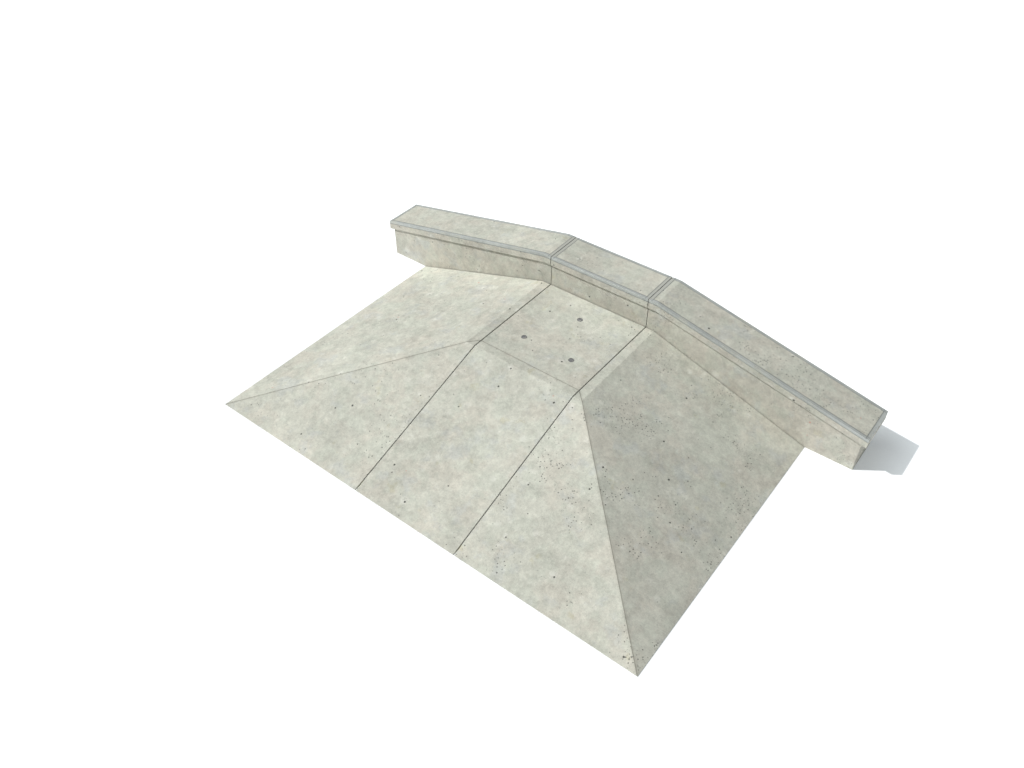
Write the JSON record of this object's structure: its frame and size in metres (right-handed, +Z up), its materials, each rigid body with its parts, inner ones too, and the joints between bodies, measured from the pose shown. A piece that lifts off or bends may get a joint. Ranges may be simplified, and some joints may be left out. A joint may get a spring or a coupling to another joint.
{
  "type": "concrete skatepark half pyramid with ledge",
  "caption": "Precast concrete skatepark obstacle: a half pyramid with a flat deck, a front bank and two side banks, backed by a kinked grind ledge with steel edges.",
  "frame": {"origin": "middle of the footprint, at ground level", "axes": "+X along the ledge, +Y from the front bank towards the ledge, +Z up"},
  "size_m": [6, 3.53, 0.94],
  "materials": {
    "concrete": "matte",
    "galvanised_steel": "satin",
    "cast_in_steel": "satin",
    "rebar": "matte",
    "foam": "matte",
    "joint_seal": "matte",
    "plug": "matte",
    "sleeve_plastic": "matte"
  },
  "bodies": {
    "blocks": {"back_joint_seal_centre": "joint_seal", "back_joint_seal_left": "joint_seal", "back_joint_seal_right": "joint_seal", "bank_block_centre": "concrete", "bank_block_left": "concrete", "bank_block_right": "concrete", "bank_joint_seal_left": "joint_seal", "bank_joint_seal_right": "joint_seal", "bank_mesh_centre": "rebar", "bank_mesh_left": "rebar", "bank_mesh_right": "rebar", "deck_lifting_sockets": "cast_in_steel", "dowel_sleeves_left": "sleeve_plastic", "dowel_sleeves_right": "sleeve_plastic", "edge_studs_centre": "cast_in_steel", "edge_studs_left": "cast_in_steel", "edge_studs_right": "cast_in_steel", "front_edge_angle_centre": "galvanised_steel", "front_edge_angle_left": "galvanised_steel", "front_edge_angle_right": "galvanised_steel", "joint_dowels_left": "cast_in_steel", "joint_dowels_right": "cast_in_steel", "joint_end_angle_centre_left": "galvanised_steel", "joint_end_angle_centre_right": "galvanised_steel", "joint_end_angle_left": "galvanised_steel", "joint_end_angle_right": "galvanised_steel", "ledge_block_centre": "concrete", "ledge_block_left": "concrete", "ledge_block_right": "concrete", "ledge_cage_centre": "rebar", "ledge_cage_left": "rebar", "ledge_cage_right": "rebar", "ledge_joint_seal_left": "joint_seal", "ledge_joint_seal_right": "joint_seal", "outer_end_angle_left": "galvanised_steel", "outer_end_angle_right": "galvanised_steel", "rear_edge_angle_centre": "galvanised_steel", "rear_edge_angle_left": "galvanised_steel", "rear_edge_angle_right": "galvanised_steel", "void_cores_centre": "foam", "void_cores_left": "foam", "void_cores_right": "foam"},
    "deck_plug_left_body": {"deck_plug_left": "plug"},
    "deck_plug_right_body": {"deck_plug_right": "plug"},
    "deck_plug_rear_body": {"deck_plug_rear": "plug"}
  },
  "joints": [
    {"name": "deck_plug_left_lift", "type": "slide", "parent": "blocks", "child": "deck_plug_left_body", "axis": [0, 0, 1], "range_m": [0, 0.06]},
    {"name": "deck_plug_right_lift", "type": "slide", "parent": "blocks", "child": "deck_plug_right_body", "axis": [0, 0, 1], "range_m": [0, 0.06]},
    {"name": "deck_plug_rear_lift", "type": "slide", "parent": "blocks", "child": "deck_plug_rear_body", "axis": [0, 0, 1], "range_m": [0, 0.06]}
  ]
}
